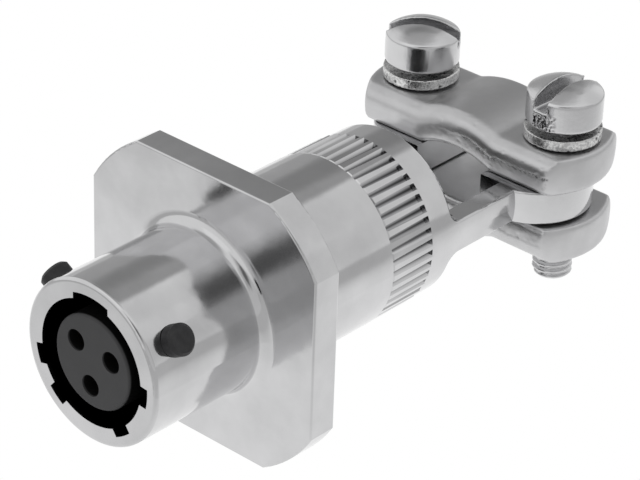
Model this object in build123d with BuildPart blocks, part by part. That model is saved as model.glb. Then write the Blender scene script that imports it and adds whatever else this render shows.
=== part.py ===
from build123d import *
from math import cos, hypot, radians, sin, tan
import os

# Circular cable receptacle with bayonet lock, three contacts and a bar clamp.
# The connector's axis lies along Y. Y = 0 is the mating face, +Y points to the cable, +Z is up.
# All sizes are in millimetres.

# Shell: mating barrel, flange, rear barrel and threaded tail
barrel_radius = 6.02
mouth_radius = 4.61
mouth_depth = 8.2
mouth_rim_round = 0.3
flange_front = 10.2
flange_thickness = 2.3
flange_width = 20.62
flange_corner_radius = 11.95
flange_edge_round = 0.15
flange_front_fillet = 0.9
flange_rear_fillet = 0.5
rear_barrel_radius = 6.55
rear_barrel_end = 22.6
rear_barrel_chamfer = 0.05
thread_radius = 5.5
thread_chamfer = 0.35
shell_end = 27.5
cavity_radius = 4.8
cavity_front = 12.6

# Keyways in the mouth: angles are seen from the front, counted from +X towards +Z
main_key_angle = 90.0
main_key_width = 3.2
main_key_radius = 5.05
minor_key_angles = (195.0, 230.0, 305.0, 355.0)
minor_key_width = 1.5
minor_key_radius = 5.2

# Bayonet pins: a shank pressed into a blind hole, and a shoulder that stops on the barrel
bayonet_angles = (30.0, 150.0, 270.0)
bayonet_radius = 1.1
bayonet_shank_radius = 0.8
bayonet_distance = 2.4
bayonet_height = 0.98
bayonet_seat_gap = 0.01
bayonet_root = 5.0
bayonet_chamfer = 0.2

# Contact pattern and the inserts that hold it
contact_circle = 1.87
contact_angles = (24.0, 144.0, 264.0)
insert_recess = 0.14
insert_stem_radius = 3.46
insert_stem_round = 0.2
insert_hole_radius = 0.78
insert_flange_length = 1.0
insert_clearance = 0.03
insulator_length = 6.4
clip_cavity_radius = 1.3
clip_cavity_depth = 4.8
grommet_length = 6.2
grommet_clearance = 0.05
barrel_hole_radius = 0.92
barrel_hole_depth = 2.9
wire_hole_radius = 0.62

# Socket contacts, each turned about its own axis
socket_recess = 1.7
socket_radius = 0.69
socket_bore_radius = 0.52
socket_bore_depth = 6.4
socket_length = 7.2
contact_body_radius = 0.76
contact_shoulder_radius = 1.05
contact_shoulder_length = 0.8
contact_neck_radius = 0.8
contact_neck_length = 1.6
crimp_radius = 0.86
crimp_end = 22.7
crimp_bore_radius = 0.56
crimp_bore_depth = 4.0
hood_radius = 0.76
hood_length = 6.6
hood_lead = 0.1
hood_mouth_chamfer = 0.04

# Retention clips, one round the neck of each contact
clip_radius = 1.26
clip_wall = 0.14
clip_length = 3.6
clip_lip_radius = 0.9
clip_lip_length = 0.3
clip_slot_width = 0.5

# Grommet follower, pressed forward by the endbell's inner shoulder
follower_bore_radius = 3.9
follower_mouth_radius = 4.4
follower_rim_clearance = 0.13
follower_rim_length = 0.7
follower_gap = 0.1

# Endbell: fluted grip, plain collar, two arms and their lugs
endbell_radius = 6.45
grip_radius = 6.52
grip_length = 4.2
grip_front_chamfer = 0.1
endbell_front_gap = 0.03
endbell_thread_clearance = 0.08
endbell_bore_radius = 4.95
collar_end = 29.1
arm_thickness = 2.56
arm_root_fillet = 0.85
bore_end = 36.2
lug_radius = 4.4
lug_centre_x = 4.86
lug_centre_y = 40.1
lug_gap = 6.0
lug_edge_round = 0.15
arm_edge_round = 0.2
flute_count = 48
flute_angle = 84.0
flute_front_depth = 0.24
flute_rear_depth = 0.33
flute_depth_margin = 1.5

# Clamp saddles, two bent bars across the arms
screw_spacing = 13.4
screw_y = 40.7
saddle_length = 20.0
saddle_width = 8.3
saddle_thickness = 2.85
saddle_end_radius = 6.8
arch_inner_half_width = 3.15
arch_outer_half_width = 3.5
arch_rise = 0.75
arch_foot_round = 1.0
saddle_outer_round = 1.15
saddle_seat_round = 0.4
saddle_end_round = 0.25
saddle_seat_gap = 0.02
lower_saddle_gap = 0.2
clearance_hole_radius = 1.65

# Clamp screws, slotted cheese heads, with split spring washers
screw_radius = 1.5
screw_length = 12.7
screw_tip_chamfer = 0.3
screw_thread_clearance = 0.04
head_radius = 2.8
head_rim_height = 2.3
head_dome = 0.94
head_fullness = 0.75
head_top_round = 0.25
head_seat_chamfer = 0.2
slot_width = 1.2
slot_depth = 1.7
left_slot_angle = 30.0
right_slot_angle = 87.0
washer_inner_radius = 1.62
washer_outer_radius = 2.86
washer_thickness = 0.78
washer_rise = 0.3
washer_sweep = 350.0
washer_split_angle = 131.0
washer_head_gap = 0.28

# Two sizes closer than this count as the same when edges are picked
same_size = 0.001

# Places worked out from the sizes above
bayonet_shoulder = barrel_radius + bayonet_seat_gap
flange_back = flange_front + flange_thickness
insulator_front = cavity_front + insert_flange_length
insulator_back = insulator_front + insulator_length
clip_cavity_front = insulator_back - clip_cavity_depth
grommet_back = insulator_back + grommet_length
follower_rim_front = shell_end + follower_gap
follower_back = follower_rim_front + follower_rim_length
endbell_front = rear_barrel_end + endbell_front_gap
endbell_thread_radius = thread_radius + endbell_thread_clearance
grip_end = endbell_front + grip_length
arm_top = arm_thickness / 2
saddle_seat = arm_top + saddle_seat_gap
lower_saddle_top = -arm_top - lower_saddle_gap
washer_seat = saddle_seat + saddle_thickness
head_seat = washer_seat + washer_thickness + washer_rise + washer_head_gap
contact_places = [
    (contact_circle * cos(radians(angle)), contact_circle * sin(radians(angle)))
    for angle in contact_angles
]


def section(distance):
    """The plane across the axis at a distance behind the mating face, with X right and Z up."""
    return Plane(origin=(0, distance, 0), x_dir=(1, 0, 0), z_dir=(0, -1, 0))


def turned(corners, x=0.0, z=0.0):
    """The half section of a turned piece, from corners given as (radius, distance along Y)."""
    with BuildSketch(Plane(origin=(x, 0, z), x_dir=(1, 0, 0), z_dir=(0, 0, 1))) as profile:
        with BuildLine():
            Polyline(*corners, close=True)
        make_face()
    return profile.sketch


def axis_at(x=0.0, z=0.0):
    """A line along Y through a point of the mating face."""
    return Axis((x, 0, z), (0, 1, 0))


def disc(radius, distance, x=0.0, z=0.0):
    """A round face across the axis, ready to be drawn out along Y."""
    with BuildSketch(section(distance)) as face:
        with Locations((x, z)):
            Circle(radius)
    return face.sketch


def keyway(angle, width, radius):
    """Section of one keyway: a slot from the axis outwards, with a round floor."""
    with BuildSketch() as slot:
        with Locations(Location((0, 0), angle)):
            Rectangle(radius, width, align=(Align.MIN, Align.CENTER))
        Circle(radius, mode=Mode.INTERSECT)
    return slot.sketch


def rings_at(part, radius, distance):
    """The round edges of a turned piece at a radius and a distance along Y."""
    return part.edges().filter_by(GeomType.CIRCLE).filter_by(
        lambda ring: abs(ring.radius - radius) < same_size
        and abs(ring.center().Y - distance) < same_size
    )


os.makedirs("parts", exist_ok=True)

# Receptacle shell, turned from one bar, with a milled square flange
with BuildPart() as receptacle_shell:
    revolve(
        turned([
            (0, 0), (barrel_radius, 0), (barrel_radius, flange_front),
            (rear_barrel_radius, flange_front), (rear_barrel_radius, rear_barrel_end),
            (thread_radius, rear_barrel_end), (thread_radius, shell_end), (0, shell_end),
        ]),
        axis=axis_at(),
    )
    with BuildSketch(section(flange_front)):
        Rectangle(flange_width, flange_width)
        Circle(flange_corner_radius, mode=Mode.INTERSECT)
    extrude(amount=-flange_thickness)
    flange_rims = receptacle_shell.faces().filter_by(Axis.Y).filter_by(
        lambda face: face.area > flange_width**2 / 2
    )
    fillet([rim.outer_wire().edges() for rim in flange_rims], flange_edge_round)
    fillet(rings_at(receptacle_shell, barrel_radius, flange_front), flange_front_fillet)
    fillet(rings_at(receptacle_shell, rear_barrel_radius, flange_back), flange_rear_fillet)
    chamfer(rings_at(receptacle_shell, rear_barrel_radius, rear_barrel_end), rear_barrel_chamfer)
    chamfer(receptacle_shell.faces().sort_by(Axis.Y)[-1].edges(), thread_chamfer)
    fillet(receptacle_shell.faces().sort_by(Axis.Y)[0].edges(), mouth_rim_round)
    extrude(disc(mouth_radius, 0), amount=-shell_end, mode=Mode.SUBTRACT)
    extrude(disc(cavity_radius, cavity_front), amount=cavity_front - shell_end, mode=Mode.SUBTRACT)

    # The five keyways are broached to the bottom of the mouth
    with BuildSketch(section(0)):
        add(keyway(main_key_angle, main_key_width, main_key_radius))
        for angle in minor_key_angles:
            add(keyway(angle, minor_key_width, minor_key_radius))
    extrude(amount=-mouth_depth, mode=Mode.SUBTRACT)

    # Blind holes for the bayonet pins
    for angle in bayonet_angles:
        outward = (cos(radians(angle)), 0, sin(radians(angle)))
        root = (bayonet_root * outward[0], bayonet_distance, bayonet_root * outward[2])
        with BuildSketch(Plane(origin=root, x_dir=(0, 1, 0), z_dir=outward)):
            Circle(bayonet_shank_radius)
        extrude(amount=barrel_radius, mode=Mode.SUBTRACT)
receptacle_shell.part.label = "receptacle_shell"
export_step(receptacle_shell.part, "parts/receptacle_shell.step")

# Bayonet pins
for number, angle in enumerate(bayonet_angles, start=1):
    outward = (cos(radians(angle)), 0, sin(radians(angle)))
    root = (bayonet_root * outward[0], bayonet_distance, bayonet_root * outward[2])
    shoulder = (bayonet_shoulder * outward[0], bayonet_distance, bayonet_shoulder * outward[2])
    with BuildPart() as bayonet_pin:
        with BuildSketch(Plane(origin=root, x_dir=(0, 1, 0), z_dir=outward)):
            Circle(bayonet_shank_radius)
        extrude(amount=bayonet_shoulder - bayonet_root)
        with BuildSketch(Plane(origin=shoulder, x_dir=(0, 1, 0), z_dir=outward)):
            Circle(bayonet_radius)
        extrude(amount=bayonet_height)
        chamfer(bayonet_pin.faces().sort_by(Axis(root, outward))[-1].edges(), bayonet_chamfer)
    bayonet_pin.part.label = f"bayonet_pin_{number}"
    export_step(bayonet_pin.part, f"parts/bayonet_pin_{number}.step")

# Rubber front insert: a stem in the mouth, a seal in the bore and a flange behind the shoulder
with BuildPart() as front_insert:
    revolve(
        turned([
            (0, insert_recess), (insert_stem_radius, insert_recess),
            (insert_stem_radius, mouth_depth), (mouth_radius - insert_clearance, mouth_depth),
            (mouth_radius - insert_clearance, cavity_front),
            (cavity_radius - insert_clearance, cavity_front),
            (cavity_radius - insert_clearance, insulator_front), (0, insulator_front),
        ]),
        axis=axis_at(),
    )
    fillet(front_insert.faces().sort_by(Axis.Y)[0].edges(), insert_stem_round)
    for x, z in contact_places:
        extrude(disc(insert_hole_radius, 0, x, z), amount=-insulator_front, mode=Mode.SUBTRACT)
front_insert.part.label = "front_insert"
export_step(front_insert.part, "parts/front_insert.step")

# Rigid insulator behind the rubber, with a stepped hole for each contact and its clip
with BuildPart() as hard_insulator:
    extrude(disc(cavity_radius - insert_clearance, insulator_front), amount=-insulator_length)
    for x, z in contact_places:
        extrude(
            disc(insert_hole_radius, insulator_front, x, z),
            amount=-insulator_length, mode=Mode.SUBTRACT,
        )
        extrude(
            disc(clip_cavity_radius, clip_cavity_front, x, z),
            amount=-clip_cavity_depth, mode=Mode.SUBTRACT,
        )
hard_insulator.part.label = "hard_insulator"
export_step(hard_insulator.part, "parts/hard_insulator.step")

# Socket contacts with their hoods and retention clips
socket_front = insert_recess + socket_recess
socket_back = socket_front + socket_length
shoulder_back = clip_cavity_front + contact_shoulder_length
neck_back = shoulder_back + contact_neck_length
hood_front = socket_front - hood_lead
for number, (x, z) in enumerate(contact_places, start=1):
    with BuildPart() as socket_contact:
        revolve(
            turned([
                (0, socket_front), (socket_radius, socket_front), (socket_radius, socket_back),
                (contact_body_radius, socket_back), (contact_body_radius, clip_cavity_front),
                (contact_shoulder_radius, clip_cavity_front), (contact_shoulder_radius, shoulder_back),
                (contact_neck_radius, shoulder_back), (contact_neck_radius, neck_back),
                (crimp_radius, neck_back), (crimp_radius, crimp_end), (0, crimp_end),
            ], x, z),
            axis=axis_at(x, z),
        )
        extrude(
            disc(socket_bore_radius, socket_front, x, z),
            amount=-socket_bore_depth, mode=Mode.SUBTRACT,
        )
        extrude(disc(crimp_bore_radius, crimp_end, x, z), amount=crimp_bore_depth, mode=Mode.SUBTRACT)
    socket_contact.part.label = f"socket_contact_{number}"
    export_step(socket_contact.part, f"parts/socket_contact_{number}.step")

    with BuildPart() as contact_hood:
        revolve(
            turned([
                (socket_radius, hood_front), (hood_radius - hood_mouth_chamfer, hood_front),
                (hood_radius, hood_front + hood_mouth_chamfer), (hood_radius, hood_front + hood_length),
                (socket_radius, hood_front + hood_length),
            ], x, z),
            axis=axis_at(x, z),
        )
    contact_hood.part.label = f"contact_hood_{number}"
    export_step(contact_hood.part, f"parts/contact_hood_{number}.step")

    with BuildPart() as retention_clip:
        clip_front = shoulder_back - clip_lip_length
        revolve(
            turned([
                (clip_radius, clip_front), (clip_radius, clip_front + clip_length),
                (clip_radius - clip_wall, clip_front + clip_length),
                (clip_radius - clip_wall, shoulder_back + clip_lip_length),
                (clip_lip_radius, shoulder_back + clip_lip_length), (clip_lip_radius, shoulder_back),
                (clip_radius - clip_wall, shoulder_back), (clip_radius - clip_wall, clip_front),
            ], x, z),
            axis=axis_at(x, z),
        )
        with BuildSketch(section(clip_front)):
            with Locations((x, z)):
                Rectangle(clip_slot_width, clip_radius * 2, align=(Align.CENTER, Align.MIN))
        extrude(amount=-clip_length, mode=Mode.SUBTRACT)
    retention_clip.part.label = f"retention_clip_{number}"
    export_step(retention_clip.part, f"parts/retention_clip_{number}.step")

# Rubber grommet round the crimp barrels and the wires
with BuildPart() as rear_grommet:
    extrude(disc(cavity_radius - grommet_clearance, insulator_back), amount=-grommet_length)
    for x, z in contact_places:
        extrude(
            disc(barrel_hole_radius, insulator_back, x, z),
            amount=-barrel_hole_depth, mode=Mode.SUBTRACT,
        )
        extrude(
            disc(wire_hole_radius, insulator_back, x, z),
            amount=-grommet_length, mode=Mode.SUBTRACT,
        )
rear_grommet.part.label = "rear_grommet"
export_step(rear_grommet.part, "parts/rear_grommet.step")

# Follower ring: slides in the shell's tail and takes the endbell's thrust
with BuildPart() as grommet_follower:
    revolve(
        turned([
            (follower_bore_radius, grommet_back), (cavity_radius - grommet_clearance, grommet_back),
            (cavity_radius - grommet_clearance, follower_rim_front),
            (endbell_thread_radius - follower_rim_clearance, follower_rim_front),
            (endbell_thread_radius - follower_rim_clearance, follower_back),
            (follower_mouth_radius, follower_back),
        ]),
        axis=axis_at(),
    )
grommet_follower.part.label = "grommet_follower"
export_step(grommet_follower.part, "parts/grommet_follower.step")


def milled_rim(edge):
    """Whether an edge of the sleeve was left by the cutter on its outside, from collar to arms."""
    place = edge @ 0.5
    return (
        abs(hypot(place.X, place.Z) - endbell_radius) < same_size
        and grip_end + same_size < place.Y < bore_end - same_size
        and abs(place.Z) > same_size
    )


def arm_lugs():
    """Two round lugs with soft rims, cut straight on their inner sides."""
    with BuildPart() as lugs:
        with Locations((-lug_centre_x, lug_centre_y), (lug_centre_x, lug_centre_y)):
            Cylinder(lug_radius, arm_thickness)
        fillet(lugs.edges().filter_by(GeomType.CIRCLE), lug_edge_round)
        with Locations((0, lug_centre_y)):
            Box(lug_gap, 4 * lug_radius, 2 * arm_thickness, mode=Mode.SUBTRACT)
    return lugs.part


def grip_flutes():
    """The cutters for all flutes: V prisms drawn forwards from the collar, out of the metal."""
    climb = flute_rear_depth - flute_front_depth
    reach = grip_radius - flute_rear_depth
    half_width = flute_depth_margin * flute_rear_depth * tan(radians(flute_angle / 2))
    with BuildPart() as flute:
        with BuildSketch(section(grip_end)):
            with BuildLine():
                Polyline(
                    (reach, 0), (reach + flute_depth_margin * flute_rear_depth, half_width),
                    (reach + flute_depth_margin * flute_rear_depth, -half_width), close=True,
                )
            make_face()
        extrude(amount=grip_length, dir=(climb, -grip_length, 0))
    return [
        flute.part.rotate(Axis.Y, number * 360 / flute_count) for number in range(flute_count)
    ]


# Endbell: a turned sleeve, milled away above and below so that two arms and their lugs are left
with BuildPart() as endbell:
    revolve(
        turned([
            (0, endbell_front), (grip_radius - grip_front_chamfer, endbell_front),
            (grip_radius, endbell_front + grip_front_chamfer), (grip_radius, grip_end),
            (endbell_radius, grip_end), (endbell_radius, bore_end), (0, bore_end),
        ]),
        axis=axis_at(),
    )

    # Cutter above and below the arms: it leaves the collar whole, with a round inner corner
    with BuildSketch(Plane.YZ) as milling:
        with BuildLine():
            FilletPolyline(
                (collar_end, 2 * endbell_radius), (collar_end, arm_top), (2 * bore_end, arm_top),
                radius=arm_root_fillet,
            )
            Polyline(
                (2 * bore_end, arm_top), (2 * bore_end, 2 * endbell_radius),
                (collar_end, 2 * endbell_radius),
            )
        make_face()
        mirror(about=Plane.XZ)
    extrude(amount=2 * endbell_radius, both=True, mode=Mode.SUBTRACT)
    fillet(endbell.edges().filter_by(milled_rim), arm_edge_round)

    # Round lugs at the ends of the arms, with the cable slot between them
    add(arm_lugs())
    extrude(disc(endbell_bore_radius, endbell_front), amount=endbell_front - bore_end, mode=Mode.SUBTRACT)
    extrude(
        disc(endbell_thread_radius, endbell_front),
        amount=endbell_front - follower_back, mode=Mode.SUBTRACT,
    )
    with Locations(*[(side * screw_spacing / 2, screw_y, arm_top) for side in (-1, 1)]):
        Hole(clearance_hole_radius, depth=2 * arm_thickness)

    # Flutes of the grip: V grooves that deepen to the rear and end square against the collar
    add(grip_flutes(), mode=Mode.SUBTRACT)
endbell.part.label = "endbell"
export_step(endbell.part, "parts/endbell.step")


def bar_side(seat, height, rise):
    """Side view of a bent bar: flat ends on the seat and a shallow arch in the middle."""
    top = seat + height
    with BuildSketch(Plane.XZ) as side:
        with BuildLine():
            Polyline((saddle_length / 2, top), (saddle_length / 2, seat), (arch_inner_half_width, seat))
            ThreePointArc((arch_inner_half_width, seat), (0, seat + rise), (-arch_inner_half_width, seat))
            Polyline(
                (-arch_inner_half_width, seat), (-saddle_length / 2, seat),
                (-saddle_length / 2, top), (-arch_outer_half_width, top),
            )
            ThreePointArc((-arch_outer_half_width, top), (0, top + rise), (arch_outer_half_width, top))
            Line((arch_outer_half_width, top), (saddle_length / 2, top))
        make_face()
        feet = side.vertices().filter_by(
            lambda corner: abs(abs(corner.X) - arch_outer_half_width) < same_size
        )
        fillet(feet, arch_foot_round)
    return side.sketch


def bar_plan():
    """Plan of a bar: straight long edges and ends turned to a large radius."""
    end_centre = saddle_length / 2 - saddle_end_radius
    with BuildSketch(Plane.XY) as plan:
        with Locations((0, screw_y)):
            Rectangle(2 * end_centre, saddle_width)
            for side in (-1, 1):
                with Locations((side * end_centre, 0)):
                    Circle(saddle_end_radius)
            Rectangle(saddle_length, saddle_width, mode=Mode.INTERSECT)
    return plan.sketch


def bar_clamp(seat, direction, hole_radius):
    """One saddle: the side view drawn out across the arms, cut to the plan, rounded and drilled."""
    middle = seat + direction * (saddle_thickness + arch_rise) / 2
    with BuildPart() as bar:
        extrude(bar_side(seat, direction * saddle_thickness, direction * arch_rise), amount=-2 * screw_y)
        extrude(bar_plan(), amount=2 * saddle_length, both=True, mode=Mode.INTERSECT)
        for outer, size in ((True, saddle_outer_round), (False, saddle_seat_round)):
            long_edges = bar.edges().filter_by(
                lambda edge: abs(abs(edge.center().Y - screw_y) - saddle_width / 2) < same_size
                and abs(edge.tangent_at(0.5).Z) < 1 - same_size
                and (direction * (edge.center().Z - middle) > 0) == outer
            )
            fillet(long_edges, size)
        ends = bar.faces().filter_by(GeomType.CYLINDER).filter_by(
            lambda face: abs(face.center().X) > saddle_length / 2 - saddle_end_round
        )
        fillet(ends.edges(), saddle_end_round)
        for side in (-1, 1):
            with BuildSketch(Plane.XY):
                with Locations((side * screw_spacing / 2, screw_y)):
                    Circle(hole_radius)
            extrude(amount=2 * saddle_length, both=True, mode=Mode.SUBTRACT)
    return bar.part


with BuildPart() as upper_saddle:
    add(bar_clamp(saddle_seat, 1, clearance_hole_radius))
upper_saddle.part.label = "upper_saddle"
export_step(upper_saddle.part, "parts/upper_saddle.step")

with BuildPart() as lower_saddle:
    add(bar_clamp(lower_saddle_top, -1, screw_radius + screw_thread_clearance))
lower_saddle.part.label = "lower_saddle"
export_step(lower_saddle.part, "parts/lower_saddle.step")

# Clamp screws and their spring washers
for side, name, slot_angle in ((-1, "left", left_slot_angle), (1, "right", right_slot_angle)):
    screw_x = side * screw_spacing / 2
    screw_axis = Axis((screw_x, screw_y, 0), (0, 0, 1))
    rim = head_seat + head_rim_height
    tip = head_seat - screw_length
    with BuildPart() as clamp_screw:
        with BuildSketch(Plane(origin=(screw_x, screw_y, 0), x_dir=(1, 0, 0), z_dir=(0, -1, 0))):
            with BuildLine():
                Polyline(
                    (0, rim + head_dome), (0, tip), (screw_radius - screw_tip_chamfer, tip),
                    (screw_radius, tip + screw_tip_chamfer), (screw_radius, head_seat),
                    (head_radius - head_seat_chamfer, head_seat),
                    (head_radius, head_seat + head_seat_chamfer), (head_radius, rim),
                )
                ThreePointArc(
                    (head_radius, rim), (head_radius / 2, rim + head_dome * head_fullness),
                    (0, rim + head_dome),
                )
            make_face()
        revolve(axis=screw_axis)
        fillet(
            clamp_screw.edges().filter_by(GeomType.CIRCLE).filter_by(
                lambda ring: abs(ring.center().Z - rim) < same_size
            ),
            head_top_round,
        )
        with BuildSketch(Plane.XY.offset(rim + head_dome - slot_depth)):
            with Locations(Location((screw_x, screw_y), slot_angle)):
                Rectangle(3 * head_radius, slot_width)
        extrude(amount=2 * slot_depth, mode=Mode.SUBTRACT)
    clamp_screw.part.label = f"clamp_screw_{name}"
    export_step(clamp_screw.part, f"parts/clamp_screw_{name}.step")

    with BuildPart() as lock_washer:
        washer_mid_radius = (washer_inner_radius + washer_outer_radius) / 2
        with BuildLine() as coil:
            Helix(
                pitch=washer_rise * 360 / washer_sweep, height=washer_rise,
                radius=washer_mid_radius, center=(screw_x, screw_y, washer_seat + washer_thickness / 2),
            )
        with BuildSketch(Plane(origin=coil.line @ 0, x_dir=(1, 0, 0), z_dir=(0, 1, 0))):
            Rectangle(washer_outer_radius - washer_inner_radius, washer_thickness)
        sweep(path=coil.line, is_frenet=True)
    washer = lock_washer.part.rotate(screw_axis, washer_split_angle)
    washer.label = f"lock_washer_{name}"
    export_step(washer, f"parts/lock_washer_{name}.step")
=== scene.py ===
# %% [markdown]
# A small cable receptacle with a bayonet lock lies on a white table in a light tent.
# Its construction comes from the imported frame, in metres: +Y runs from the mating face to the
# cable clamp and +Z is up. This notebook gives every piece its finish, rebuilds the pieces whose
# softened edges and threads matter to the eye, and sets up the light and the camera.

# %% Load the frame
from math import atan2, cos, exp, hypot, pi, radians, sin, tan

import bmesh
import bpy
from mathutils import Matrix, Vector, noise


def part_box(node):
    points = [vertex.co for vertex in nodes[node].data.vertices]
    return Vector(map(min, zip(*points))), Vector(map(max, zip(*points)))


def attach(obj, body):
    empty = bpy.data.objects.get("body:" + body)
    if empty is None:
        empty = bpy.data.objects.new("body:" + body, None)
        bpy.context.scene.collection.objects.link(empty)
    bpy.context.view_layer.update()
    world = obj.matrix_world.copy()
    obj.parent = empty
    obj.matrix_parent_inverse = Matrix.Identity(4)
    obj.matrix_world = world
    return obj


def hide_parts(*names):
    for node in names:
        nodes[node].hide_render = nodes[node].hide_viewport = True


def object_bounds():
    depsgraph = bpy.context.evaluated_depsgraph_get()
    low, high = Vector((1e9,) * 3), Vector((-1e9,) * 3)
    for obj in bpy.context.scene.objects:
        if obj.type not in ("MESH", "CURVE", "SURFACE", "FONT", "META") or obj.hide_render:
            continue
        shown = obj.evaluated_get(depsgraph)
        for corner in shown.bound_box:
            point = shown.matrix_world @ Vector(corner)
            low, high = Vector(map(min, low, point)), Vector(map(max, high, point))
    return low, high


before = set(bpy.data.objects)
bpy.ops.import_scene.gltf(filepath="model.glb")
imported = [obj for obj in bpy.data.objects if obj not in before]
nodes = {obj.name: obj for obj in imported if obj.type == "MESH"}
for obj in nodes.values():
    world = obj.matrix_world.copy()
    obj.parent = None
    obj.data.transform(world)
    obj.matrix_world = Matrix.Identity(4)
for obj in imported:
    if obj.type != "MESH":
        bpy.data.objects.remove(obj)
cad_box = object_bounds()
MM = 0.001
print("frame pieces:", len(nodes))
print("CAD box in mm:", [[round(v / MM, 2) for v in corner] for corner in cad_box])

# %% [markdown]
# The camera comes first, because every later choice is judged through it. It is a long lens
# from the front right and above, as in a catalogue picture. Its angles are counted from the
# front (-Y) towards the right (+X), and the picture is rolled by two degrees.

# %% Camera
VIEW_AZIMUTH = radians(41.163)
VIEW_ELEVATION = radians(30.063)
VIEW_ROLL = radians(2.021)
VIEW_DISTANCE = 201.634 * MM
FOCAL_PIXELS = 2917.5
PICTURE_WIDTH = 640
SENSOR_WIDTH = 36.0
AIM_RIGHT = 2.783 * MM
AIM_UP = 1.788 * MM
AIM_DEPTH = 18.0 * MM


def direction(azimuth, elevation):
    """The unit vector from the object towards an azimuth and elevation, in radians."""
    return Vector((sin(azimuth) * cos(elevation), -cos(azimuth) * cos(elevation), sin(elevation)))


towards_camera = direction(VIEW_AZIMUTH, VIEW_ELEVATION)
view_right = Vector((cos(VIEW_AZIMUTH), sin(VIEW_AZIMUTH), 0))
view_up = towards_camera.cross(view_right)
aim = view_right * AIM_RIGHT + view_up * AIM_UP + Vector((0, AIM_DEPTH, 0))
rolled_right = view_right * cos(VIEW_ROLL) + view_up * sin(VIEW_ROLL)
rolled_up = view_up * cos(VIEW_ROLL) - view_right * sin(VIEW_ROLL)
camera_turn = Matrix((rolled_right, rolled_up, towards_camera)).transposed().to_4x4()

camera_data = bpy.data.cameras.new("view")
camera_data.sensor_width = SENSOR_WIDTH
camera_data.lens = FOCAL_PIXELS * SENSOR_WIDTH / PICTURE_WIDTH
camera_data.clip_start = 1 * MM
camera = bpy.data.objects.new("view", camera_data)
camera.matrix_world = Matrix.Translation(aim + towards_camera * VIEW_DISTANCE) @ camera_turn
bpy.context.scene.collection.objects.link(camera)
bpy.context.scene.camera = camera
print("camera lens in mm:", round(camera_data.lens, 1))

# %% [markdown]
# Two helpers serve every material. Colours are written as sRGB hex values, the way a designer
# picks them, and one function turns them to the linear values that Blender mixes with. The
# other adds a node, sets its options and fills its inputs with values or with links.

# %% Colour and node helpers
def linear(hex_colour):
    """A '#RRGGBB' colour as linear red, green, blue and alpha."""
    channels = [int(hex_colour[i:i + 2], 16) / 255 for i in (1, 3, 5)]
    rgb = [c / 12.92 if c <= 0.04045 else ((c + 0.055) / 1.055) ** 2.4 for c in channels]
    return (*rgb, 1.0)


def add_node(tree, kind, inputs=None, **options):
    """Adds a node of a kind to a tree.

    inputs maps a socket's name or number to a value, or to an output that is linked to it.
    """
    node = tree.nodes.new(kind)
    for name, value in options.items():
        setattr(node, name, value)
    for socket, value in (inputs or {}).items():
        if isinstance(value, bpy.types.NodeSocket):
            tree.links.new(value, node.inputs[socket])
        else:
            node.inputs[socket].default_value = value
    return node


def new_material(name, base, metallic, roughness):
    """A material, with its tree, its principled shader and its coordinates in metres."""
    material = bpy.data.materials.new(name)
    material.use_nodes = True
    tree = material.node_tree
    shader = tree.nodes["Principled BSDF"]
    shader.inputs["Base Color"].default_value = linear(base)
    shader.inputs["Metallic"].default_value = metallic
    shader.inputs["Roughness"].default_value = roughness
    place = add_node(tree, "ShaderNodeTexCoord").outputs["Object"]
    return material, tree, shader, place


def per_metre(size_mm):
    """The scale of a noise texture whose features are about size_mm across."""
    return 1 / (size_mm * MM)


def blend_range(tree, value, low, high, to_low, to_high):
    """Maps a value from one range to another, clamped, with soft ends."""
    return add_node(
        tree, "ShaderNodeMapRange", {0: value, 1: low, 2: high, 3: to_low, 4: to_high},
        interpolation_type="SMOOTHSTEP",
    ).outputs[0]


print("mid grey #808080 in linear light:", round(linear("#808080")[0], 3))

# %% [markdown]
# The materials share a few texture pieces: noise whose size is given in millimetres, a blend of
# two colours, bumps of a known depth, and the distance of a point from the connector's axis.

# %% Shared texture pieces
def noise_at(tree, place, size_mm, detail=3.0, roughness=0.5):
    """A noise value between 0 and 1 with features of a size in millimetres."""
    return add_node(tree, "ShaderNodeTexNoise", {
        "Vector": place, "Scale": per_metre(size_mm), "Detail": detail, "Roughness": roughness,
    }).outputs["Fac"]


def tones(tree, factor, first, second):
    """A colour between two sRGB hex colours, or between a hex colour and a colour output."""
    node = add_node(tree, "ShaderNodeMix", {0: factor}, data_type="RGBA")
    for socket, colour in ((6, first), (7, second)):
        if isinstance(colour, str):
            node.inputs[socket].default_value = linear(colour)
        else:
            tree.links.new(colour, node.inputs[socket])
    return node.outputs[2]


def relief(tree, shader, *layers):
    """Bumps for a shader from pairs of a height between 0 and 1 and its depth in millimetres."""
    normal = None
    for height, depth_mm in layers:
        inputs = {"Strength": 1.0, "Distance": depth_mm * MM, "Height": height}
        if normal is not None:
            inputs["Normal"] = normal
        normal = add_node(tree, "ShaderNodeBump", inputs).outputs[0]
    tree.links.new(normal, shader.inputs["Normal"])


def axis_distances(tree, place):
    """The distance from the connector's axis and the distance along it."""
    parts = add_node(tree, "ShaderNodeSeparateXYZ", {0: place})
    flat = add_node(tree, "ShaderNodeCombineXYZ", {"X": parts.outputs["X"], "Z": parts.outputs["Z"]})
    length = add_node(tree, "ShaderNodeVectorMath", {0: flat.outputs[0]}, operation="LENGTH")
    return length.outputs["Value"], parts.outputs["Y"]


def product(tree, first, second):
    """Two values multiplied."""
    return add_node(tree, "ShaderNodeMath", {0: first, 1: second}, operation="MULTIPLY").outputs[0]


print("noise scale for features of 1 mm:", round(per_metre(1.0)))
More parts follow.
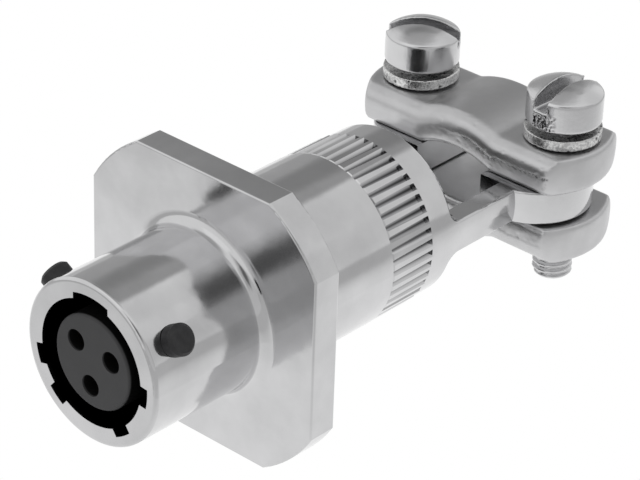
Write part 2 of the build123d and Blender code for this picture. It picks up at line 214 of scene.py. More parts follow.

# %% [markdown]
# The shell and the endbell are turned and milled aluminium under electroless nickel. The bath
# covers machined metal with an even, slightly cloudy skin that is almost a mirror: reflections
# have soft edges, and they waver a little because the metal was cut before it was plated. The
# real grain is a few thousandths of a millimetre; it is drawn 0.09 mm wide so that it shows at
# all. Inside the mouth and the endbell the skin is painted near black, as painted shade in the bore.
# The flutes of the grip are painted greyer the deeper a point lies in one, as painted shade.

# %% Nickel on turned aluminium
SKIN_CLOUD_MM = 3.5
SKIN_WAVER_MM = 2.4
SKIN_WAVER_DEPTH_MM = 0.02
SKIN_GRAIN_MM = 0.09
SKIN_GRAIN_DEPTH_MM = 0.0012
BORE_EDGE_MM = 0.05
BORE_FADE_MM = 0.15
FLUTE_FROM_MM = 22.75
FLUTE_TO_MM = 26.75
FLUTE_FADE_MM = 0.1
FLUTE_FLOOR_MM = 6.17
FLUTE_TOP_MM = 6.47


def between(tree, value, low_mm, high_mm, soft_mm):
    """1 between two distances in millimetres and 0 beyond them, with soft ends."""
    after_low = blend_range(tree, value, low_mm * MM, (low_mm + soft_mm) * MM, 0.0, 1.0)
    before_high = blend_range(tree, value, high_mm * MM, (high_mm + soft_mm) * MM, 1.0, 0.0)
    return product(tree, after_low, before_high)


print("flutes along the axis in mm:", FLUTE_FROM_MM, "to", FLUTE_TO_MM)


# %% Nickel of the shell and the endbell
def turned_nickel(name, shade_radius_mm, shade_from_mm, shade_to_mm, flute_shade_tone=None):
    """Nickel on a piece turned about the Y axis.

    It has painted shade in the bore: near black within a radius and between two distances along
    the axis. The flutes of the grip get a darker tone as painted shade if one is given.
    """
    material, tree, shader, place = new_material(name, "#CACACB", 1.0, 0.15)
    cloud = noise_at(tree, place, SKIN_CLOUD_MM, 4.0)
    waver = noise_at(tree, place, SKIN_WAVER_MM, 2.0)
    grain = noise_at(tree, place, SKIN_GRAIN_MM, 2.0)
    skin = tones(tree, cloud, "#BCBCBD", "#DCDCDD")
    radius, along = axis_distances(tree, place)
    bore_low, bore_high = (shade_radius_mm - BORE_EDGE_MM) * MM, (shade_radius_mm + BORE_EDGE_MM) * MM
    inside = blend_range(tree, radius, bore_low, bore_high, 1.0, 0.0)
    # painted shade: the bore mask paints the skin near black inside the mouth and the endbell
    bore = product(tree, inside, between(tree, along, shade_from_mm, shade_to_mm, BORE_FADE_MM))
    # painted shade: the flutes are painted greyer the deeper a point lies in one
    if flute_shade_tone:
        sunk = blend_range(tree, radius, FLUTE_FLOOR_MM * MM, FLUTE_TOP_MM * MM, 1.0, 0.0)
        painted_flute_shade = product(tree, sunk, between(tree, along, FLUTE_FROM_MM, FLUTE_TO_MM, FLUTE_FADE_MM))
        skin = tones(tree, painted_flute_shade, skin, flute_shade_tone)
    # the bore's painted shade (#0B0B0B) darkens the skin here
    tree.links.new(tones(tree, bore, skin, "#0B0B0B"), shader.inputs["Base Color"])
    tree.links.new(blend_range(tree, cloud, 0.3, 0.7, 0.14, 0.07), shader.inputs["Roughness"])
    relief(tree, shader, (waver, SKIN_WAVER_DEPTH_MM), (grain, SKIN_GRAIN_DEPTH_MM))
    return material


shell_nickel = turned_nickel(
    "nickel_on_turned_aluminium", shade_radius_mm=5.28, shade_from_mm=0.2, shade_to_mm=27.6,
)
# The endbell's flute tone #6C6C6D is painted shade in the grip's flutes.
endbell_nickel = turned_nickel(
    "nickel_on_milled_aluminium", shade_radius_mm=5.62, shade_from_mm=22.7, shade_to_mm=30.0,
    flute_shade_tone="#6C6C6D",
)
print("finishes:", shell_nickel.name, endbell_nickel.name)

# %% [markdown]
# The clamp bars are punched from steel strip, bent, tumbled in a drum of chips until every edge
# is soft, and nickel plated. Tumbling leaves a duller skin than turning: a fine, even grain that
# scatters light, drawn 0.14 mm wide because the real one is too fine to show. Punching leaves
# its own mark on the long sides: smooth and rolled over above, torn and darker below a ragged
# line. The bar's mesh says where that line runs.

# %% Nickel on tumbled steel
TUMBLE_CLOUD_MM = 1.6
TUMBLE_CLOUD_DEPTH_MM = 0.008
TUMBLE_GRAIN_MM = 0.14
TUMBLE_GRAIN_DEPTH_MM = 0.003
TEAR_MM = 0.2
TEAR_DEPTH_MM = 0.03
TORN = "torn"


def read_mark(tree, name):
    """A mark between 0 and 1 that a mesh carries at its points."""
    return add_node(tree, "ShaderNodeAttribute", attribute_name=name).outputs["Fac"]


def tumbled_nickel(name):
    """Satin nickel on a tumbled steel bar, with small dark tears along the torn line."""
    material, tree, shader, place = new_material(name, "#BEBEBF", 1.0, 0.27)
    cloud = noise_at(tree, place, TUMBLE_CLOUD_MM, 4.0)
    grain = noise_at(tree, place, TUMBLE_GRAIN_MM, 3.0)
    torn = read_mark(tree, TORN)
    open_tears = blend_range(tree, noise_at(tree, place, TEAR_MM, 4.0), 0.46, 0.58, 0.0, 1.0)
    tears = product(tree, torn, open_tears)
    ground = blend_range(tree, tears, 0.0, 1.0, 1.0, 0.0)
    skin = tones(tree, torn, tones(tree, cloud, "#BEBEBF", "#CECECF"), "#AEAEAF")
    tree.links.new(tones(tree, tears, skin, "#565657"), shader.inputs["Base Color"])
    tree.links.new(blend_range(tree, cloud, 0.3, 0.7, 0.42, 0.36), shader.inputs["Roughness"])
    relief(
        tree, shader, (cloud, TUMBLE_CLOUD_DEPTH_MM), (grain, TUMBLE_GRAIN_DEPTH_MM),
        (ground, TEAR_DEPTH_MM),
    )
    return material


bar_nickel = tumbled_nickel("nickel_on_tumbled_steel")
print("finish:", bar_nickel.name)

# %% [markdown]
# The clamp screws are headed steel with bright nickel. The plating is glossier than on the
# bars, but the slot is sawn after heading, so burrs and plating nodules stand along its edges,
# and the metal is pitted and dull where the saw left the head.

# %% Bright nickel on headed steel
HEAD_CLOUD_MM = 1.2
HEAD_CLOUD_DEPTH_MM = 0.012
NODULE_MM = 0.3
NODULE_DEPTH_MM = 0.003
PITTED = "pitted"


def bright_nickel(name):
    """Bright nickel with small nodules, dull where the mesh is pitted."""
    material, tree, shader, place = new_material(name, "#CCCCCD", 1.0, 0.1)
    cloud = noise_at(tree, place, HEAD_CLOUD_MM, 4.0)
    nodules = noise_at(tree, place, NODULE_MM, 3.0)
    pits = read_mark(tree, PITTED)
    tree.links.new(tones(tree, pits, "#CECECF", "#868687"), shader.inputs["Base Color"])
    tree.links.new(blend_range(tree, cloud, 0.35, 0.75, 0.19, 0.26), shader.inputs["Roughness"])
    relief(tree, shader, (cloud, HEAD_CLOUD_DEPTH_MM), (nodules, NODULE_DEPTH_MM))
    return material


screw_nickel = bright_nickel("bright_nickel_on_headed_steel")
print("finish:", screw_nickel.name)

# %% [markdown]
# Spring washers are coiled from hard wire and barrel plated with zinc. The coating is thick
# and knobbly, with dull craters between bright grains. The craters are in the mesh, which
# marks them for the colour.

# %% Zinc on spring steel
ZINC_GRAIN_MM = 0.18
ZINC_GRAIN_DEPTH_MM = 0.02


def knobbly_zinc(name):
    """Thick barrel zinc with bright grains and dark craters."""
    material, tree, shader, place = new_material(name, "#C4C4C3", 1.0, 0.3)
    grains = noise_at(tree, place, ZINC_GRAIN_MM, 4.0, 0.6)
    pits = read_mark(tree, PITTED)
    skin = tones(tree, blend_range(tree, grains, 0.35, 0.6, 0.0, 1.0), "#BABABA", "#E2E2E1")
    tree.links.new(tones(tree, pits, skin, "#545455"), shader.inputs["Base Color"])
    tree.links.new(blend_range(tree, grains, 0.35, 0.6, 0.42, 0.24), shader.inputs["Roughness"])
    relief(tree, shader, (grains, ZINC_GRAIN_DEPTH_MM))
    return material


washer_zinc = knobbly_zinc("zinc_on_spring_steel")
print("finish:", washer_zinc.name)

# %% [markdown]
# The bayonet pins are stainless steel blackened by an oxide bath. The film is dark grey and
# only half metallic to the eye, and its cloudy patches follow the turned surface beneath.

# %% Blackened stainless steel
OXIDE_CLOUD_MM = 0.5
OXIDE_CLOUD_DEPTH_MM = 0.02
OXIDE_GRAIN_MM = 0.16
OXIDE_GRAIN_DEPTH_MM = 0.006


def black_oxide(name):
    """Dark oxide on turned steel."""
    material, tree, shader, place = new_material(name, "#333334", 0.3, 0.5)
    cloud = noise_at(tree, place, OXIDE_CLOUD_MM, 5.0)
    grain = noise_at(tree, place, OXIDE_GRAIN_MM, 3.0)
    tree.links.new(tones(tree, cloud, "#202022", "#333334"), shader.inputs["Base Color"])
    tree.links.new(blend_range(tree, cloud, 0.3, 0.7, 0.55, 0.42), shader.inputs["Roughness"])
    relief(tree, shader, (cloud, OXIDE_CLOUD_DEPTH_MM), (grain, OXIDE_GRAIN_DEPTH_MM))
    return material


pin_black = black_oxide("blackened_stainless_steel")
print("finish:", pin_black.name)

# %% [markdown]
# Rubber and plastic follow one recipe: a dielectric with broad gloss, a moulded surface that
# shows only as grain a tenth of a millimetre across, and a tone that is never quite even.
# The insert is black silicone. Handling wears a grey bloom into its face. Deeper in, the holes
# and the ring round the face are painted near black as painted shade, so the ring looks so deep.

# %% Rubber and plastic
MOULD_GRAIN_DEPTH_MM = 0.004
GRAINS_PER_CLOUD = 12
BLOOM_GRAIN_MM = 0.1
BLOOM_GRAIN_DEPTH_MM = 0.003
BLOOM_CLOUD_MM = 1.4
FACE_TO_SHADE_FADE_MM = 0.12


def moulded(name, dark, light, roughness, grain_mm):
    """A moulded rubber or plastic between two tones."""
    material, tree, shader, place = new_material(name, dark, 0.0, roughness)
    grain = noise_at(tree, place, grain_mm, 4.0)
    cloud = noise_at(tree, place, grain_mm * GRAINS_PER_CLOUD, 3.0)
    tree.links.new(tones(tree, cloud, dark, light), shader.inputs["Base Color"])
    gloss = blend_range(tree, cloud, 0.3, 0.7, roughness - 0.05, roughness + 0.05)
    tree.links.new(gloss, shader.inputs["Roughness"])
    relief(tree, shader, (grain, MOULD_GRAIN_DEPTH_MM))
    return material


def bloomed_rubber_with_painted_shade(name, face_end_mm):
    """Black silicone with a grey bloom up to a distance behind the mating plane, then painted shade."""
    material, tree, shader, place = new_material(name, "#0A0A0A", 0.0, 0.6)
    shader.inputs["Specular IOR Level"].default_value = 0.3
    grain = noise_at(tree, place, BLOOM_GRAIN_MM, 4.0)
    cloud = noise_at(tree, place, BLOOM_CLOUD_MM, 3.0)
    bloom = tones(tree, cloud, "#3B3B3C", "#444445")
    along = axis_distances(tree, place)[1]
    face_end, shade_start = face_end_mm * MM, (face_end_mm + FACE_TO_SHADE_FADE_MM) * MM
    # painted shade: deeper than the face the rubber is painted near black (#030303)
    depth = blend_range(tree, along, face_end, shade_start, 0.0, 1.0)
    tree.links.new(tones(tree, depth, bloom, "#030303"), shader.inputs["Base Color"])
    tree.links.new(blend_range(tree, cloud, 0.3, 0.7, 0.55, 0.65), shader.inputs["Roughness"])
    relief(tree, shader, (grain, BLOOM_GRAIN_DEPTH_MM))
    return material


insert_rubber = bloomed_rubber_with_painted_shade("black_silicone_insert", 0.22)
grommet_rubber = moulded("black_silicone_grommet", "#101010", "#181818", 0.6, 0.12)
insulator_plastic = moulded("glass_filled_insulator", "#2A2620", "#3A342B", 0.5, 0.15)
follower_nylon = moulded("black_nylon_follower", "#141414", "#1D1D1D", 0.45, 0.14)
print("finishes:", insert_rubber.name, grommet_rubber.name)
print("finishes:", insulator_plastic.name, follower_nylon.name)

# %% [markdown]
# Inside sit turned contacts in gold, drawn steel hoods and rolled copper clips. They hardly
# show in the picture, but the part can be taken apart, so each has its own metal.

# %% Contact metals
METAL_CLOUD_MM = 0.4
METAL_CLOUD_DEPTH_MM = 0.002


def small_metal(name, dark, light, roughness):
    """A plated or rolled metal between two tones."""
    material, tree, shader, place = new_material(name, light, 1.0, roughness)
    cloud = noise_at(tree, place, METAL_CLOUD_MM, 4.0)
    tree.links.new(tones(tree, cloud, dark, light), shader.inputs["Base Color"])
    gloss = blend_range(tree, cloud, 0.3, 0.7, roughness - 0.04, roughness + 0.05)
    tree.links.new(gloss, shader.inputs["Roughness"])
    relief(tree, shader, (cloud, METAL_CLOUD_DEPTH_MM))
    return material


contact_gold = small_metal("gold_on_copper_alloy", "#D9AE55", "#E8C373", 0.22)
hood_steel = small_metal("drawn_stainless_steel", "#A9A8A5", "#C3C2BF", 0.28)
clip_copper = small_metal("rolled_beryllium_copper", "#B97F52", "#CC9468", 0.3)
print("finishes:", contact_gold.name, hood_steel.name, clip_copper.name)

# %% [markdown]
# The frame's own solids already have the right shape for everything that is turned or moulded,
# so those keep their meshes and only take a finish. The table goes by the start of a piece's
# name, so pieces that come in twos and threes share a row. The clamp's bars, screws and washers
# take their finish here too, although new skins stand in for them from the next step on.

# %% Finishes on the frame's pieces
finishes = {
    "receptacle_shell": shell_nickel, "endbell": endbell_nickel,
    "upper_saddle": bar_nickel, "lower_saddle": bar_nickel,
    "clamp_screw": screw_nickel, "lock_washer": washer_zinc, "bayonet_pin": pin_black,
    "front_insert": insert_rubber, "hard_insulator": insulator_plastic,
    "rear_grommet": grommet_rubber, "grommet_follower": follower_nylon,
    "socket_contact": contact_gold, "contact_hood": hood_steel, "retention_clip": clip_copper,
}


def finish_piece(piece, material):
    """Gives a piece one material in all its slots."""
    piece.data.materials.clear()
    piece.data.materials.append(material)


for name, node in nodes.items():
    kind = next(start for start in finishes if name.startswith(start))
    finish_piece(node, finishes[kind])
print("finished frame pieces:", len(nodes))

# %% [markdown]
# The bars, screws and washers get new skins, because their charm is in what a CAD solid leaves
# out: edges rounded by tumbling, a torn line, burrs, threads and plating. Each skin starts as a
# copy of the frame's own solid, so it sits exactly where that one does. A voxel remesh turns it
# into small even squares, a few rounds of smoothing break its edges, and each point can then be
# moved along its normal. This work is done in millimetres, because a voxel in metres has a
# lower limit that is too coarse for a part this small. Where the two ends of a ramp stand in a
# formula, they are millimetres for a distance and plain shares for a noise or a normal.

# %% New skins from the frame's solids
scene = bpy.context.scene


def in_millimetres(node):
    """A copy of a frame piece's mesh, in millimetres."""
    mesh = nodes[node].data.copy()
    mesh.transform(Matrix.Scale(1 / MM, 4))
    return mesh


def even_squares(mesh, voxel_mm, smooth_rounds):
    """The mesh rebuilt from squares of a size and then smoothed."""
    carrier = bpy.data.objects.new("carrier", mesh)
    scene.collection.objects.link(carrier)
    squares = carrier.modifiers.new("squares", "REMESH")
    squares.mode = "VOXEL"
    squares.voxel_size = voxel_mm
    soft = carrier.modifiers.new("soft", "SMOOTH")
    soft.factor = 0.5
    soft.iterations = smooth_rounds
    finished = carrier.evaluated_get(bpy.context.evaluated_depsgraph_get())
    rebuilt = bpy.data.meshes.new_from_object(finished)
    bpy.data.objects.remove(carrier)
    return rebuilt


print("points in the solid of a bar:", len(nodes["upper_saddle"].data.vertices))


# %% Carving and placing a skin
def carve(mesh, mark_name, work):
    """Moves each point along its normal and stores a mark there.

    work gives the distance and the mark for a point and its normal.
    """
    results = [work(point.co, point.normal) for point in mesh.vertices]
    mark = mesh.attributes.new(mark_name, "FLOAT", "POINT")
    mark.data.foreach_set("value", [marked for _, marked in results])
    moved = [point.co + point.normal * offset for point, (offset, _) in zip(mesh.vertices, results)]
    for point, place in zip(mesh.vertices, moved):
        point.co = place


def place_skin(mesh, name, node, body, material):
    """Makes a piece from a skin in millimetres, in place of a frame piece."""
    mesh.transform(Matrix.Scale(MM, 4))
    mesh.materials.clear()
    mesh.materials.append(material)
    mesh.polygons.foreach_set("use_smooth", [True] * len(mesh.polygons))
    piece = bpy.data.objects.new(name, mesh)
    scene.collection.objects.link(piece)
    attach(piece, body)
    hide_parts(node)
    print(name, "faces:", len(mesh.polygons))


def ramp(value, low, high):
    """0 below low, 1 above high and a smooth rise between."""
    share = min(max((value - low) / (high - low), 0.0), 1.0)
    return share * share * (3 - 2 * share)


def rough(point, size_mm, seed=0.0):
    """Noise between about -1 and 1 with bumps of a size, different for each seed."""
    x, y, z = point.x / size_mm, point.y / size_mm, point.z / size_mm
    return noise.noise(Vector((x + seed, y - seed, z + 2 * seed)))


print("a quarter of the way up a ramp:", ramp(0.25, 0.0, 1.0))

# %% [markdown]
# Both bars carry the same marks. The torn line runs along the long sides, about 1.5 mm below
# the outer surface, and it follows the arch. Below it the side stands back a little. The blunt
# half of the punch tore each bar on one half only. Dents from tumbling are shallow on the flats
# and deeper where an edge stuck out. The long sides bulge a little, as on any punched strip.

# %% Clamp bars
BAR_VOXEL = 0.11
BAR_SMOOTH_ROUNDS = 16
BAR_HALF_WIDTH = 4.15
ARCH_HALF_WIDTH = 3.5
ARCH_RISE = 0.75
TORN_DEPTH = 1.45
TORN_WIDTH = 0.09
TORN_STEP = 0.02
TORN_GROOVE = 0.025
TORN_WANDER = 0.16
TORN_WANDER_MM = 1.1
TORN_RAGGED = 0.09
TORN_RAGGED_MM = 0.3
TORN_FADE_MM = 2.1
TORN_SLOPE = 0.12
TORN_BELOW_TONE = 0.15
DENT_MM = 1.3
DENT_DEPTH_FLAT = 0.004
DENT_DEPTH_EDGE = 0.014
NICK_MM = 0.45
NICK_DEPTH = 0.04
GRAIN_MM = 0.3
GRAIN_DEPTH = 0.004
EDGE_REACH = 0.9
BAR_MID_DEPTH = 1.43
BAR_BULGE = 0.16


def arch_height(x):
    """How far a bar's outer surface rises above its flat ends at a distance from the middle."""
    radius = (ARCH_HALF_WIDTH**2 + ARCH_RISE**2) / (2 * ARCH_RISE)
    return (radius**2 - x**2) ** 0.5 + ARCH_RISE - radius if abs(x) < ARCH_HALF_WIDTH else 0.0


print("arch height in mm at 0, 1 and 2 mm:", [round(arch_height(x), 2) for x in (0, 1, 2)])


# %% Carving of the bars
def bar_work(outer_level, sense, middle_y, seed):
    """The carving of one bar.

    Its flat outer surface lies at a level and faces up where sense is 1, or down where it is -1.
    """
    def work(point, normal):
        depth = sense * (outer_level - point.z) + arch_height(point.x)
        side = ramp(abs(normal.y), 0.6, 0.9)
        line = TORN_DEPTH + TORN_WANDER * rough(point, TORN_WANDER_MM, seed)
        line += TORN_RAGGED * rough(point, TORN_RAGGED_MM, seed + 3)
        worn_half = ramp(sense * point.x, -1.5, 1.0)
        strength = worn_half * ramp(rough(point, TORN_FADE_MM, seed + 5), -0.35, 0.25)
        torn = side * strength * exp(-((depth - line) / TORN_WIDTH) ** 2)
        below = side * ramp(depth, line, line + TORN_SLOPE)
        edge = ramp(abs(point.y - middle_y), BAR_HALF_WIDTH - EDGE_REACH, BAR_HALF_WIDTH)
        from_middle = (depth - BAR_MID_DEPTH) / BAR_MID_DEPTH
        bulge = BAR_BULGE * ramp(abs(normal.y), 0.0, 0.7) * from_middle ** 2
        dents = (DENT_DEPTH_FLAT + DENT_DEPTH_EDGE * edge) * rough(point, DENT_MM, seed + 7)
        nicks = NICK_DEPTH * edge * ramp(rough(point, NICK_MM, seed + 9), 0.4, 0.7)
        grain = GRAIN_DEPTH * rough(point, GRAIN_MM, seed + 11) * (1 + 2 * below)
        offset = dents - nicks + grain - bulge - TORN_GROOVE * torn - TORN_STEP * below
        return offset, min(torn + TORN_BELOW_TONE * strength * below, 1.0)
    return work


# %% The two bars
# Each row: piece, body, the side it faces (1 up, -1 down) and seed.
bars = (
    ("upper_saddle", "endbell", 1, 0.0),
    ("lower_saddle", "lower_bar", -1, 40.0),
)
for name, body, sense, seed in bars:
    low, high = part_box(name)
    outer = high.z / MM - ARCH_RISE if sense > 0 else low.z / MM + ARCH_RISE
    middle = (low.y + high.y) / 2 / MM
    skin = even_squares(in_millimetres(name), BAR_VOXEL, BAR_SMOOTH_ROUNDS)
    carve(skin, TORN, bar_work(outer, sense, middle, seed))
    place_skin(skin, name + "_tumbled", name, body, bar_nickel)

# %% [markdown]
# A screw is its head from the frame's solid and a shank with a real helical thread, because a
# thread that only a bump draws has a straight outline. The thread is a grid of rings whose
# radius follows the helix. Both go through one remesh, which welds them into a single skin.

# %% Thread for the clamp screws
THREAD_PITCH = 0.5
THREAD_MAJOR = 1.5
THREAD_MINOR = 1.2
THREAD_COLUMNS = 48
THREAD_ROWS = 12
THREAD_ROOT_END = 0.12
THREAD_CREST_START = 0.8
TIP_CHAMFER = 0.3
SHANK_PLAIN = 0.6
WELD_DISTANCE = 0.001


def thread_radius(angle, height, length):
    """The shank's radius at an angle and a height above its tip."""
    phase = (height / THREAD_PITCH - angle / (2 * pi)) % 1.0
    crest = ramp(1 - abs(2 * phase - 1), THREAD_ROOT_END, THREAD_CREST_START)
    radius = THREAD_MINOR + (THREAD_MAJOR - THREAD_MINOR) * crest
    radius = min(radius, THREAD_MAJOR - TIP_CHAMFER + height)
    return radius if height < length - SHANK_PLAIN else THREAD_MINOR


print("thread pitch and depth in mm:", THREAD_PITCH, round(THREAD_MAJOR - THREAD_MINOR, 2))


# %% Shank and head of a screw
def add_shank(mesh, centre, tip, top):
    """Adds a threaded shank from a tip up to a level, as a closed skin of its own."""
    shape = bmesh.new()
    shape.from_mesh(mesh)
    rows = int((top - tip) / THREAD_PITCH * THREAD_ROWS)
    rings = []
    for row in range(rows + 1):
        height = (top - tip) * row / rows
        ring = []
        for column in range(THREAD_COLUMNS):
            angle = 2 * pi * column / THREAD_COLUMNS
            radius = thread_radius(angle, height, top - tip)
            x, y = centre.x + radius * cos(angle), centre.y + radius * sin(angle)
            ring.append(shape.verts.new((x, y, tip + height)))
        rings.append(ring)
    for lower, upper in zip(rings, rings[1:]):
        for column in range(THREAD_COLUMNS):
            after = (column + 1) % THREAD_COLUMNS
            shape.faces.new((lower[column], lower[after], upper[after], upper[column]))
    shape.faces.new(list(reversed(rings[0])))
    shape.faces.new(rings[-1])
    shape.to_mesh(mesh)
    shape.free()


def keep_above(mesh, level):
    """Cuts a closed mesh at a level, keeps what is above and closes the cut."""
    shape = bmesh.new()
    shape.from_mesh(mesh)
    bmesh.ops.remove_doubles(shape, verts=shape.verts, dist=WELD_DISTANCE)
    everything = list(shape.verts) + list(shape.edges) + list(shape.faces)
    cut = bmesh.ops.bisect_plane(
        shape, geom=everything, plane_co=(0, 0, level), plane_no=(0, 0, 1), clear_inner=True,
    )
    rim = [part for part in cut["geom_cut"] if isinstance(part, bmesh.types.BMEdge)]
    bmesh.ops.holes_fill(shape, edges=rim, sides=0)
    shape.to_mesh(mesh)
    shape.free()


print("points on each ring of a thread:", THREAD_COLUMNS)

# %% [markdown]
# The saw leaves its marks on the heads: a raised burr along the slot's mouths, and under one
# mouth of the right screw a torn, pitted patch. They are carved in by angle and height.

# %% Clamp screws and their burrs
SCREW_VOXEL = 0.07
SCREW_SMOOTH_ROUNDS = 7
HEAD_RADIUS = 2.8
HEAD_HEIGHT = 3.24
SLOT_DEPTH = 1.7
SLOT_HALF_WIDTH = 0.6
BURR_WIDTH = 0.09
BURR_FINE_MM = 0.16
BURR_COARSE_MM = 0.4
SWELL_MM = 0.9
SWELL_HEIGHT = 0.006
PATCH_HALF_ANGLE = 24.0
PATCH_BOTTOM = 1.75
PATCH_FULL = 1.3
PATCH_HEIGHT = 0.03
PIT_DEPTH = 0.07
PIT_MM = 0.22
PIT_FINE_MM = 0.1
HEAD_OVERLAP = 0.05
SHANK_OVERLAP = 0.1
print("slot depth and width in mm:", SLOT_DEPTH, 2 * SLOT_HALF_WIDTH)


# %% Carving of a screw
def screw_work(centre, top, slot_angle, patch_angle, burr_height, seed):
    """The carving of one screw whose head ends at a level, with angles in degrees.

    The head swells a little all over, burrs stand on the slot's mouths, and one patch is pitted
    if the screw has one.
    """
    along_slot = Vector((cos(radians(slot_angle)), sin(radians(slot_angle)), 0))
    across_slot = Vector((-along_slot.y, along_slot.x, 0))
    floor = top - SLOT_DEPTH

    def work(point, normal):
        arm = point - centre
        radius = hypot(arm.x, arm.y)
        on_head = ramp(point.z, top - HEAD_HEIGHT, top - HEAD_HEIGHT + 0.2) * ramp(radius, 1.7, 1.9)
        mouth = ramp(radius, HEAD_RADIUS - 0.35, HEAD_RADIUS - 0.1) * ramp(point.z, floor - 0.25, floor)
        beside = exp(-((abs(arm.dot(across_slot)) - SLOT_HALF_WIDTH) / BURR_WIDTH) ** 2)
        ragged = 0.5 + rough(point, BURR_FINE_MM, seed) + 0.5 * rough(point, BURR_COARSE_MM, seed + 2)
        burr = burr_height * mouth * beside * max(ragged, 0.0)
        swell = SWELL_HEIGHT * on_head * rough(point, SWELL_MM, seed + 4)
        if patch_angle is None:
            return swell + burr, 0.0
        turn = abs((atan2(arm.y, arm.x) - radians(patch_angle) + pi) % (2 * pi) - pi)
        patch = ramp(radius, HEAD_RADIUS - 0.3, HEAD_RADIUS - 0.05)
        patch *= 1 - ramp(turn, radians(PATCH_HALF_ANGLE) * 0.6, radians(PATCH_HALF_ANGLE))
        above_patch = ramp(point.z, floor - 0.1, floor + 0.1)
        patch *= ramp(point.z, floor - PATCH_BOTTOM, floor - PATCH_FULL) * (1 - above_patch)
        pattern = rough(point, PIT_MM, seed + 6) + 0.5 * rough(point, PIT_FINE_MM, seed + 8)
        pits = patch * ramp(pattern, -0.2, 0.5)
        return swell + burr - PIT_DEPTH * pits + PATCH_HEIGHT * patch, pits
    return work


# %% The two screws
# Each row: piece, body, angle of the slot, angle of the pitted patch, burr height and seed.
screws = (
    ("clamp_screw_left", "left_screw", 30.0, None, 0.02, 3.0),
    ("clamp_screw_right", "right_screw", 87.0, 274.0, 0.09, 17.0),
)
for name, body, slot_angle, patch_angle, burr_height, seed in screws:
    low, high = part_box(name)
    centre = Vector(((low.x + high.x) / 2, (low.y + high.y) / 2, 0)) / MM
    top, tip = high.z / MM, low.z / MM
    seat = top - HEAD_HEIGHT
    skin = in_millimetres(name)
    keep_above(skin, seat - HEAD_OVERLAP)
    add_shank(skin, centre, tip, seat + SHANK_OVERLAP)
    skin = even_squares(skin, SCREW_VOXEL, SCREW_SMOOTH_ROUNDS)
    carve(skin, PITTED, screw_work(centre, top, slot_angle, patch_angle, burr_height, seed))
    place_skin(skin, name + "_threaded", name, body, screw_nickel)

# %% [markdown]
# The washers' zinc is lumpy, with craters where gas bubbles sat in the bath. A Voronoi pattern
# gives each crater its own centre, and a slow noise decides which of them are open.

# %% Spring washers
WASHER_VOXEL = 0.06
WASHER_SMOOTH_ROUNDS = 4
CRATER_MM = 0.42
CRATER_DEPTH = 0.05
CRATER_FLOOR = 0.12
CRATER_RIM = 0.42
CRATERED_MM = 0.7
LUMP_MM = 0.2
LUMP_HEIGHT = 0.014
WAVE_MM = 0.5
WAVE_HEIGHT = 0.012


def washer_work(seed):
    """The carving of one washer: lumps all over and craters here and there."""
    def work(point, normal):
        nearest = noise.voronoi(point / CRATER_MM + Vector((seed, seed, seed)))[0][0]
        open_here = ramp(rough(point, CRATERED_MM, seed), -0.05, 0.3)
        crater = open_here * (1 - ramp(nearest, CRATER_FLOOR, CRATER_RIM))
        lumps = LUMP_HEIGHT * rough(point, LUMP_MM, seed + 1)
        waves = WAVE_HEIGHT * rough(point, WAVE_MM, seed + 2)
        return lumps + waves - CRATER_DEPTH * crater, crater
    return work


for side, seed in (("left", 5.0), ("right", 11.0)):
    name = "lock_washer_" + side
    skin = even_squares(in_millimetres(name), WASHER_VOXEL, WASHER_SMOOTH_ROUNDS)
    carve(skin, PITTED, washer_work(seed))
    place_skin(skin, name + "_plated", name, "endbell", washer_zinc)

# %% [markdown]
# A light tent is white all round. Bare metal shows little else than this room, so the room is
# drawn as a sky: white, with darker patches that give round metal its dark bands. The darkest
# patch is the camera's own, and the tent's open back lies across from it. The milder ones are
# grey cards to the right, in front and behind, and a hole near the top. Each patch is a factor
# below one, so patches that overlap simply darken each other. The camera itself sees plain
# white behind the table.

# %% Light tent
TENT_LEVEL = 0.93
scene.view_settings.view_transform = "Standard"
world = bpy.data.worlds.new("light_tent")
scene.world = world
world.use_nodes = True
sky = world.node_tree
sky.nodes.clear()
seen_from = add_node(sky, "ShaderNodeTexCoord").outputs["Generated"]


def closeness(axis):
    """How much the seen direction points along an axis."""
    dot = add_node(sky, "ShaderNodeVectorMath", {0: seen_from, 1: axis}, operation="DOT_PRODUCT")
    return dot.outputs["Value"]


print("tent level:", TENT_LEVEL)


# %% Shapes of the dark patches
def opening(azimuth, elevation, inner, outer, depth):
    """A round dark opening: 1 - depth within inner degrees of a direction, and 1 beyond outer."""
    towards = closeness(direction(radians(azimuth), radians(elevation)))
    return blend_range(sky, towards, cos(radians(outer)), cos(radians(inner)), 1.0, 1 - depth)


def card(azimuth, elevation, half_width, half_height, softness, depth):
    """A dark rectangular card, in degrees about a direction: 1 - depth inside and 1 outside."""
    aim_at = direction(radians(azimuth), radians(elevation))
    across = Vector((cos(radians(azimuth)), sin(radians(azimuth)), 0))
    ahead = closeness(aim_at)
    inside = blend_range(sky, ahead, 0.0, 0.05, 0.0, 1.0)
    for axis, half in ((across, half_width), (aim_at.cross(across), half_height)):
        share = add_node(sky, "ShaderNodeMath", {0: closeness(axis), 1: ahead}, operation="DIVIDE")
        reach = add_node(sky, "ShaderNodeMath", {0: share.outputs[0]}, operation="ABSOLUTE")
        near, far = tan(radians(half - softness)), tan(radians(half + softness))
        edge = blend_range(sky, reach.outputs[0], near, far, 1.0, 0.0)
        inside = product(sky, inside, edge)
    left = add_node(sky, "ShaderNodeMath", {0: inside, 1: -depth, 2: 1.0}, operation="MULTIPLY_ADD")
    return left.outputs[0]


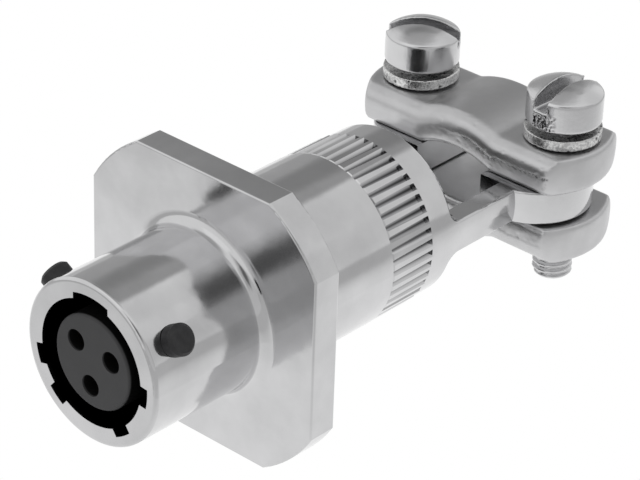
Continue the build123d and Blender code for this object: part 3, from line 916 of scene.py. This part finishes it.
# %% The tent's patches and its light
# A card's numbers are its azimuth, elevation, half width, half height and softness in degrees,
# and its depth. An opening's are its azimuth, elevation, inner and outer reach, and its depth.
level = card(39, 37, 14, 10, 6, 0.74)  # the camera and its stand
for patch in (
    card(-138, 32, 25, 32, 3, 0.52),  # the tent's open back
    opening(-149, 32, 8, 18, 0.32),  # the deepest part of the open back
    card(72, 8, 52, 32, 8, 0.3),  # a wide grey card on the right
    card(0, -8, 30, 14, 8, 0.33),  # a low card in front
    card(140, 30, 35, 30, 10, 0.16),  # a pale card behind on the right
    opening(-120, 72, 12, 32, 0.48),  # the hole near the top
    card(50, 46, 22, 12, 6, 0.33),  # a card above the camera
):
    level = product(sky, level, patch)
level = product(sky, level, TENT_LEVEL)
room = add_node(sky, "ShaderNodeBackground", {"Color": linear("#FFFFFF"), "Strength": level})
backdrop = add_node(sky, "ShaderNodeBackground", {"Color": linear("#FFFFFF"), "Strength": 1.0})
camera_ray = add_node(sky, "ShaderNodeLightPath").outputs["Is Camera Ray"]
mixed = add_node(sky, "ShaderNodeMixShader", {
    0: camera_ray, 1: room.outputs[0], 2: backdrop.outputs[0],
})
add_node(sky, "ShaderNodeOutputWorld", {"Surface": mixed.outputs[0]})
print("tent nodes:", len(sky.nodes))

# %% [markdown]
# Two soft boxes stand outside the tent and shine through its cloth. The key light is in front
# on the left and high up, and the fill is behind on the right. Each is given by the radiance
# that it adds to the cloth, because that is what a mirror-like metal shows of it.

# %% Soft boxes
def soft_box(name, azimuth, elevation, distance_mm, size_mm, radiance):
    """A square area light that points at the middle of the object.

    It adds its radiance to that of the tent behind it.
    """
    data = bpy.data.lights.new(name, "AREA")
    data.size = size_mm * MM
    data.energy = radiance * pi * data.size**2
    box = bpy.data.objects.new(name, data)
    towards = direction(radians(azimuth), radians(elevation))
    box.location = Vector((0, AIM_DEPTH, 0)) + towards * distance_mm * MM
    box.rotation_euler = towards.to_track_quat("Z", "Y").to_euler()
    scene.collection.objects.link(box)
    print(name, "light in watts:", round(data.energy, 4))


soft_box("key", azimuth=-20, elevation=52, distance_mm=320, size_mm=190, radiance=0.12)
soft_box("fill", azimuth=120, elevation=45, distance_mm=360, size_mm=200, radiance=0.08)

# %% [markdown]
# The object lies on a light table, a white sheet lit from below, which leaves next to no
# shadow. The glow is strongest behind the object and fades outwards, and that fading is what
# shades the metal's lower half. The picture is exposed so long that the camera sees the whole
# sheet burnt out to white, so camera rays get an even white of their own.

# %% Light table
TABLE_HALF = 3.0
GLOW_CENTRE = Vector((-24, 40, 0)) * MM
GLOW_NEAR = 36 * MM
GLOW_FAR = 80 * MM
GLOW_FAR_LEVEL = 0.57
floor_z = cad_box[0][2]
table_mesh = bpy.data.meshes.new("table")
signs = ((-1, -1), (1, -1), (1, 1), (-1, 1))
corners = [(x * TABLE_HALF, y * TABLE_HALF, floor_z) for x, y in signs]
table_mesh.from_pydata(corners, [], [(0, 1, 2, 3)])
table = bpy.data.objects.new("table", table_mesh)
scene.collection.objects.link(table)
print("table height in mm:", round(floor_z / MM, 2))

# %% Light of the table
lit_sheet = bpy.data.materials.new("lit_white_sheet")
lit_sheet.use_nodes = True
sheet = lit_sheet.node_tree
sheet.nodes.clear()
spot = add_node(sheet, "ShaderNodeTexCoord").outputs["Object"]
centre_spot = GLOW_CENTRE + Vector((0, 0, floor_z))
away = add_node(sheet, "ShaderNodeVectorMath", {0: spot, 1: centre_spot}, operation="DISTANCE")
strength = blend_range(sheet, away.outputs["Value"], GLOW_NEAR, GLOW_FAR, 1.0, GLOW_FAR_LEVEL)
fading = add_node(sheet, "ShaderNodeEmission", {"Color": linear("#FFFFFF"), "Strength": strength})
burnt_out = add_node(sheet, "ShaderNodeEmission", {"Color": linear("#FFFFFF"), "Strength": 1.0})
by_camera = add_node(sheet, "ShaderNodeLightPath").outputs["Is Camera Ray"]
glow = add_node(sheet, "ShaderNodeMixShader", {
    0: by_camera, 1: fading.outputs[0], 2: burnt_out.outputs[0],
})
add_node(sheet, "ShaderNodeOutputMaterial", {"Surface": glow.outputs[0]})
table_mesh.materials.append(lit_sheet)
print("table nodes:", len(sheet.nodes))
